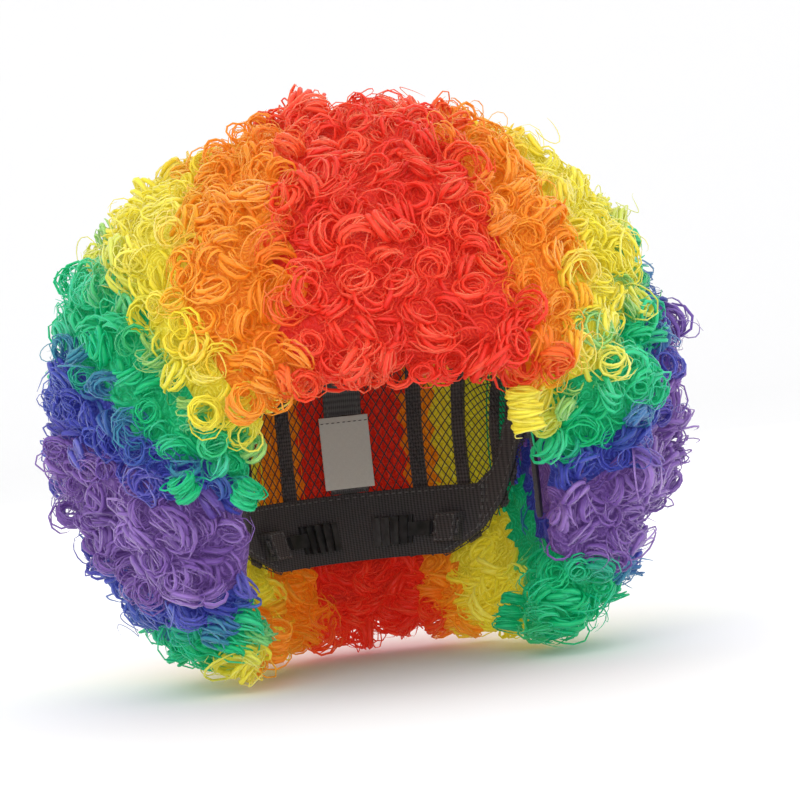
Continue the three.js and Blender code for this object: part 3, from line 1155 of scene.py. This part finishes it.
def plastic_material(name: str, colour: Rgb) -> bpy.types.Material:
    """The finish of small moulded plastic parts: a fine grain, worn lighter in spots.

    Args:
        name: The material's name.
        colour: The plastic's colour.

    Returns:
        The material.
    """
    made = Shader(name, 0.38)
    place = made.node("TexCoord").outputs["Object"]
    wear = made.noise(place, 220.0, 5.0)
    worn = tuple(min(1.0, 2.2 * c + 0.02) for c in colour)
    made.paint(made.ramp(wear, [(0.35, colour), (0.85, worn)]))
    rough = made.math("ADD", made.math("MULTIPLY", wear, 0.3), 0.24)
    made.links.new(rough, made.shader.inputs["Roughness"])
    made.bump(made.noise(place, 1400.0), 0.3, 0.0001)
    return made.material


def cad_shape(node: str) -> bmesh.types.BMesh:
    """A copy of a CAD node's shape, with its loose triangles merged."""
    bm = bmesh.new()
    bm.from_mesh(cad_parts[node].data)
    bmesh.ops.remove_doubles(bm, verts=bm.verts, dist=0.00002)
    return bm


def add_stitch(bm: bmesh.types.BMesh, place: Matrix, half: Triple) -> None:
    """Adds one stitch to a piece.

    Args:
        bm: The piece.
        place: Its middle and its directions.
        half: Its half sizes along the seam, across it, and off the cloth.
    """
    ball = bmesh.ops.create_icosphere(bm, subdivisions=1, radius=1.0)
    bmesh.ops.transform(bm, verts=ball["verts"], matrix=place @ Matrix.Diagonal((*half, 1.0)))


@dataclass
class CapNet:
    """The knotted net of the crown: diamonds of round thread in the place of the CAD shell."""

    space: HairSpace = HairSpace()
    off_head: float = 0.0025
    columns: int = 92
    rows: int = 56
    thread: float = 0.00062
    reach: float = 0.0016
    overhang: float = 0.0014

    def build(self) -> None:
        """Makes the net."""
        solid = cad_shape("crown_net")
        near = BVHTree.FromBMesh(solid)
        bm = bmesh.new()
        bmesh.ops.create_uvsphere(bm, u_segments=self.columns, v_segments=self.rows, radius=1.0)
        bmesh.ops.rotate(bm, verts=bm.verts, cent=(0, 0, 0), matrix=Matrix.Rotation(math.pi / 2, 3, "Y"))
        bmesh.ops.scale(bm, verts=bm.verts, vec=[h + self.off_head for h in CAP_HALF])
        bmesh.ops.translate(bm, verts=bm.verts, vec=self.space.head.centre)
        away = [f for f in bm.faces if near.find_nearest(f.calc_center_median())[3] > self.reach]
        bmesh.ops.delete(bm, geom=away, context="FACES")
        sides = bm.edges[:]
        bmesh.ops.poke(bm, faces=bm.faces[:])
        inner = [e for e in sides if e.is_valid and len(e.link_faces) == 2]
        bmesh.ops.dissolve_edges(bm, edges=inner, use_verts=False)
        outer = [f for f in bm.faces if max(near.find_nearest(v.co)[3] for v in f.verts) > self.overhang]
        bmesh.ops.delete(bm, geom=outer, context="FACES")
        bmesh.ops.wireframe(
            bm, faces=bm.faces[:], thickness=self.thread, offset=0.0,
            use_replace=True, use_boundary=True, use_even_offset=True,
        )
        solid.free()
        net = new_piece("cap_net", bm, cloth_material("net_thread", NET_THREAD))
        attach(net, HAIR_BODY)
        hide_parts("crown_net")


@dataclass
class SewnStrip:
    """An elastic band or ribbon of the cap: the CAD node's own shape with soft edges, and stitches.

    Stitches run at the distance in inset from each rim. There are none where the cloth is covered
    within the distance in clear, as inside a casing.
    """

    node: str
    slot: str
    body: str = HAIR_BODY
    soft_edge: float = 0.0004
    inset: float = 0.0021
    stitch: float = 0.0026
    stitch_gap: float = 0.0014
    stitch_half: Span = (0.00034, 0.00026)
    sharp: float = 0.7
    shortest: float = 0.0012
    clear: float = 0.008

    def build(self, cloth: bpy.types.Material, thread: bpy.types.Material) -> bpy.types.Object:
        """Makes the strip and its two rows of stitches.

        Args:
            cloth: The strip's finish.
            thread: The stitches' finish.

        Returns:
            The strip.
        """
        bm = cad_shape(self.node)
        stitches = self.stitches(bm)
        rims = [e for e in bm.edges if e.calc_face_angle(0.0) > self.sharp]
        bmesh.ops.bevel(
            bm, geom=rims, offset=self.soft_edge, offset_type="OFFSET", affect="EDGES",
            segments=2, profile=0.5, material=-1, clamp_overlap=True,
        )
        strip = new_piece("sewn_" + self.node, bm, cloth)
        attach(strip, self.body)
        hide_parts(self.node)
        if stitches.faces:
            rows = new_piece("stitches_" + self.node, stitches, thread)
            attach(rows, self.body)
        else:
            stitches.free()
        return strip

    def stitches(self, bm: bmesh.types.BMesh) -> bmesh.types.BMesh:
        """Lays stitches along the rims of the side that faces the head.

        Args:
            bm: The strip's shape before its edges are softened.

        Returns:
            All the stitches as one shape.
        """
        centre = HairSpace().middle
        own = BVHTree.FromBMesh(bm)
        made = bmesh.new()
        for edge in bm.edges:
            if edge.calc_face_angle(0.0) < self.sharp or edge.calc_length() < self.shortest:
                continue
            a, b = (vert.co for vert in edge.verts)
            inward = (centre - (a + b) / 2).normalized()
            face = max(edge.link_faces, key=lambda f: f.normal.dot(inward))
            if face.normal.dot(inward) < 0.6:
                continue
            along = (b - a).normalized()
            side = face.calc_center_median() - (a + b) / 2
            side = (side - along * side.dot(along)).normalized()
            start = (a + b) / 2 + side * self.inset + face.normal * 0.0002
            if own.ray_cast(start, face.normal, self.clear)[0] is not None:
                continue
            count = max(1, round(edge.calc_length() / (self.stitch + self.stitch_gap)))
            turn = Matrix((along, side, face.normal)).transposed().to_4x4()
            for i in range(count):
                middle = a + (b - a) * (i + 0.5) / count + side * self.inset + face.normal * 0.0001
                add_stitch(made, Matrix.Translation(middle) @ turn, (self.stitch / 2, *self.stitch_half))
        return made


@dataclass
class WeftRows:
    """The sewn rows that the hair hangs from: folded hair roots in close lines outside the net.

    Rows run at the given shares of a band's width, except where it is narrower than the degrees in
    narrowest.
    """

    space: HairSpace = HairSpace()
    off_head: float = 0.0034
    height: float = 0.0013
    width: float = 0.0016
    shares: tuple[float, ...] = (0.12, 0.3, 0.7, 0.88)
    steps: int = 120
    narrowest: float = 4.0
    reach: float = 0.0024

    def build(self, finishes: Finishes) -> None:
        """Makes one piece of rows for each band.

        Args:
            finishes: The material of each colour.
        """
        solid = cad_shape("crown_net")
        near = BVHTree.FromBMesh(solid)
        for side in (-1, 1):
            for colour in HairColour:
                bm = bmesh.new()
                for share in self.shares:
                    self.row(bm, near, side, colour, share)
                bmesh.ops.solidify(bm, geom=bm.faces[:], thickness=self.width)
                if not bm.faces:
                    bm.free()
                    continue
                rows = new_piece(f"weft_rows_{band_name(colour, side)}", bm, finishes[colour])
                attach(rows, HAIR_BODY)
        solid.free()

    def row(
        self, bm: bmesh.types.BMesh, near: BVHTree, side: int, colour: HairColour, share: float
    ) -> None:
        """Adds one row as a strip that stands on the net.

        Args:
            bm: The piece.
            near: The net's CAD shape, which the row doesn't leave.
            side: 1 left or -1 right.
            colour: The band.
            share: How far across the band the row runs.
        """
        bounds = RING_BOUNDS[side]
        centre = self.space.middle
        last = None
        edges = []
        for i in range(self.steps + 1):
            around = -180 + 360 * i / self.steps
            low = bounds[colour.value - 1].angle(around) if colour.value else 0.0
            high = bounds[colour.value].angle(around) if colour.value < len(bounds) else 90.0
            angle = math.radians(low + (high - low) * share)
            turn = math.radians(around)
            away = math.sin(angle)
            way = Vector((side * math.cos(angle), -away * math.cos(turn), away * math.sin(turn)))
            spread = math.sqrt(sum((w / (h + self.off_head)) ** 2 for w, h in zip(way, CAP_HALF)))
            point = centre + way / spread
            if high - low < self.narrowest or near.find_nearest(point)[3] > self.reach:
                last = None
                continue
            vert = bm.verts.new(point)
            if last is not None:
                edges.append(bm.edges.new((last, vert)))
            last = vert
        made = bmesh.ops.extrude_edge_only(bm, edges=edges)
        for vert in made["geom"]:
            if isinstance(vert, bmesh.types.BMVert):
                vert.co += (vert.co - centre).normalized() * self.height


@dataclass
class CareLabel:
    """The blank woven label that hangs inside the back of the cap by its sewn top edge."""

    width: float = 0.026
    length: float = 0.038
    thickness: float = 0.0006
    bow: float = 0.0011
    columns: int = 14
    rows: int = 20
    hem: float = 0.0030
    stitches: int = 9
    stitch_half: Triple = (0.0010, 0.0002, 0.0003)

    def build(self, cloth: bpy.types.Material, thread: bpy.types.Material) -> None:
        """Makes the label and the stitches that hold it.

        Args:
            cloth: The label's finish.
            thread: The stitches' finish.
        """
        low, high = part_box("care_label")
        middle_y = (low[1] + high[1]) / 2
        bm = bmesh.new()
        bmesh.ops.create_grid(bm, x_segments=self.columns, y_segments=self.rows, size=0.5)
        bmesh.ops.scale(bm, verts=bm.verts, vec=(self.width, self.length, 1.0))
        bmesh.ops.rotate(bm, verts=bm.verts, cent=(0, 0, 0), matrix=Matrix.Rotation(math.pi / 2, 3, "X"))
        for vert in bm.verts:
            down = 0.5 - vert.co.z / self.length
            across = vert.co.x / self.width
            vert.co.y += self.bow * (math.sin(down * 2.6) * 0.6 - down * across * across * 2.0)
        bmesh.ops.translate(bm, verts=bm.verts, vec=(0, middle_y, high[2] - self.length / 2))
        bmesh.ops.solidify(bm, geom=bm.faces[:], thickness=self.thickness)
        rims = [e for e in bm.edges if e.calc_face_angle(0.0) > 1.0]
        bmesh.ops.bevel(
            bm, geom=rims, offset=self.thickness * 0.3, affect="EDGES", segments=2, profile=0.5, material=-1
        )
        label = new_piece("blank_label", bm, cloth)
        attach(label, "label_body")
        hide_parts("care_label")
        rows = bmesh.new()
        for i in range(self.stitches):
            x = (i - (self.stitches - 1) / 2) * self.width / self.stitches
            middle = (x, middle_y - self.thickness * 0.7, high[2] - self.hem)
            add_stitch(rows, Matrix.Translation(middle), self.stitch_half)
        stitches = new_piece("stitches_label", rows, thread)
        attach(stitches, "label_body")


@dataclass
class Cap:
    """The whole cap: the net, its bands, ribbons and wefts, and the small parts at the nape and ears."""

    def build(self, hair: Finishes) -> None:
        """Makes every part of the cap.

        Args:
            hair: The material of each hair colour, for the rows that the hair is sewn in.
        """
        thread = cloth_material("sewing_thread", THREAD)
        elastic = cloth_material("elastic_band", ELASTIC)
        ribbon = cloth_material("grosgrain_ribbon", GROSGRAIN)
        felt = cloth_material("tab_felt", TAB_FELT)
        weft = cloth_material("weft_tape", WEFT_TAPE)
        plastic = plastic_material("moulded_plastic", (0.022, 0.022, 0.024))
        CapNet().build()
        for node in ("front_band", "side_band_left", "side_band_right", "nape_band"):
            SewnStrip(node, "elastic").build(elastic, thread)
        for node in ("centre_ribbon", "cross_ribbon_left", "cross_ribbon_right"):
            SewnStrip(node, "ribbon").build(ribbon, thread)
        for side in ("left", "right"):
            SewnStrip(f"strap_casing_{side}", "elastic", inset=0.0012).build(elastic, thread)
            body = f"adjuster_{side}"
            SewnStrip(f"adjuster_strap_{side}", "elastic", body, 0.0003, 0.0012).build(elastic, thread)
            tab = SewnStrip(f"ear_tab_{side}", "tab_cloth", f"ear_tab_{side}_body", 0.0007)
            tab.build(felt, thread)
            for node in (f"hook_ladder_{side}", f"adjuster_hook_{side}"):
                self.dress(node, plastic)
        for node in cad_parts:
            if node.startswith("weft_"):
                self.dress(node, weft)
        WeftRows().build(hair)
        CareLabel().build(cloth_material("label_weave", LABEL_WEAVE), thread)

    def dress(self, node: str, material: bpy.types.Material) -> None:
        """Gives a CAD node that stays its finish."""
        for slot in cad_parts[node].material_slots:
            slot.material = material
        LOG.info("%s: dressed", node)


# ---- studio ----


@dataclass(frozen=True)
class Studio:
    """A pale floor that curves up behind, soft lights and the camera."""

    azimuth: float = -9.0
    elevation: float = 1.0
    roll: float = -6.0
    distance: float = 1.4
    lens: float = 128.0
    aim: Triple = (0.016, -0.01, 0.131)
    floor_half: float = 4.0
    bend: float = 1.5
    wall: float = 5.0

    def camera(self) -> None:
        """Places the camera."""
        data = bpy.data.cameras.new("camera")
        data.lens = self.lens
        camera = bpy.data.objects.new("camera", data)
        a, e = math.radians(self.azimuth), math.radians(self.elevation)
        back = Vector((math.sin(a) * math.cos(e), -math.cos(a) * math.cos(e), math.sin(e)))
        aim = (-back).to_track_quat("-Z", "Y").to_matrix().to_4x4()
        roll = Matrix.Rotation(math.radians(self.roll), 4, "Z")
        camera.matrix_world = Matrix.Translation(Vector(self.aim) + back * self.distance) @ aim @ roll
        bpy.context.scene.collection.objects.link(camera)
        bpy.context.scene.camera = camera

    def floor(self) -> None:
        """Makes the floor and the backdrop as one bent sheet."""
        bm = bmesh.new()
        bmesh.ops.create_grid(bm, x_segments=2, y_segments=2, size=self.floor_half)
        back = [e for e in bm.edges if all(v.co.y > 0.97 * self.floor_half for v in e.verts)]
        bmesh.ops.spin(
            bm, geom=back, axis=(1, 0, 0), cent=(0, self.floor_half, self.bend),
            dvec=(0, 0, 0), angle=math.pi / 2, steps=24,
        )
        top = [e for e in bm.edges if all(v.co.z > 0.99 * self.bend for v in e.verts)]
        wall = bmesh.ops.extrude_edge_only(bm, edges=top)
        moved = [g for g in wall["geom"] if isinstance(g, bmesh.types.BMVert)]
        bmesh.ops.translate(bm, verts=moved, vec=(0, 0, self.wall))
        paper = Shader("studio_paper", 0.9)
        paper.set("Base Color", (0.93, 0.93, 0.935, 1))
        stage = new_piece("studio_floor", bm, paper.material)

    def light(self, name: str, place: Triple, size: float, watts: float) -> None:
        """Adds one soft square light that faces the wig."""
        data = bpy.data.lights.new(name, "AREA")
        data.size = size
        data.energy = watts
        lamp = bpy.data.objects.new(name, data)
        lamp.location = place
        lamp.rotation_euler = (Vector(self.aim) - Vector(place)).to_track_quat("-Z", "Y").to_euler()
        bpy.context.scene.collection.objects.link(lamp)

    def build(self) -> None:
        """Makes the whole studio."""
        scene = bpy.context.scene
        scene.view_settings.view_transform = "Standard"
        world = bpy.data.worlds.new("studio")
        world.use_nodes = True
        sky = world.node_tree.nodes["Background"]
        sky.inputs["Color"].default_value = (1, 1, 1, 1)
        sky.inputs["Strength"].default_value = 1.06
        scene.world = world
        self.camera()
        self.floor()
        self.light("key", (-0.7, -1.7, 1.0), 1.2, 13)
        self.light("fill", (1.2, -1.4, 0.4), 1.3, 6)
        self.light("back", (0.3, 1.8, 1.2), 1.5, 10)


def main() -> None:
    """Builds every piece of the wig and the studio."""
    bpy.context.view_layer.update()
    Studio().build()
    kit = CurlKit()
    kit.wind()
    Hair().build(kit, {colour: curl_material(colour) for colour in HairColour})
    dense = {colour: underhair_material(colour) for colour in HairColour}
    Underhair().build(dense)
    Cap().build(dense)


if __name__ == "__main__":
    main()
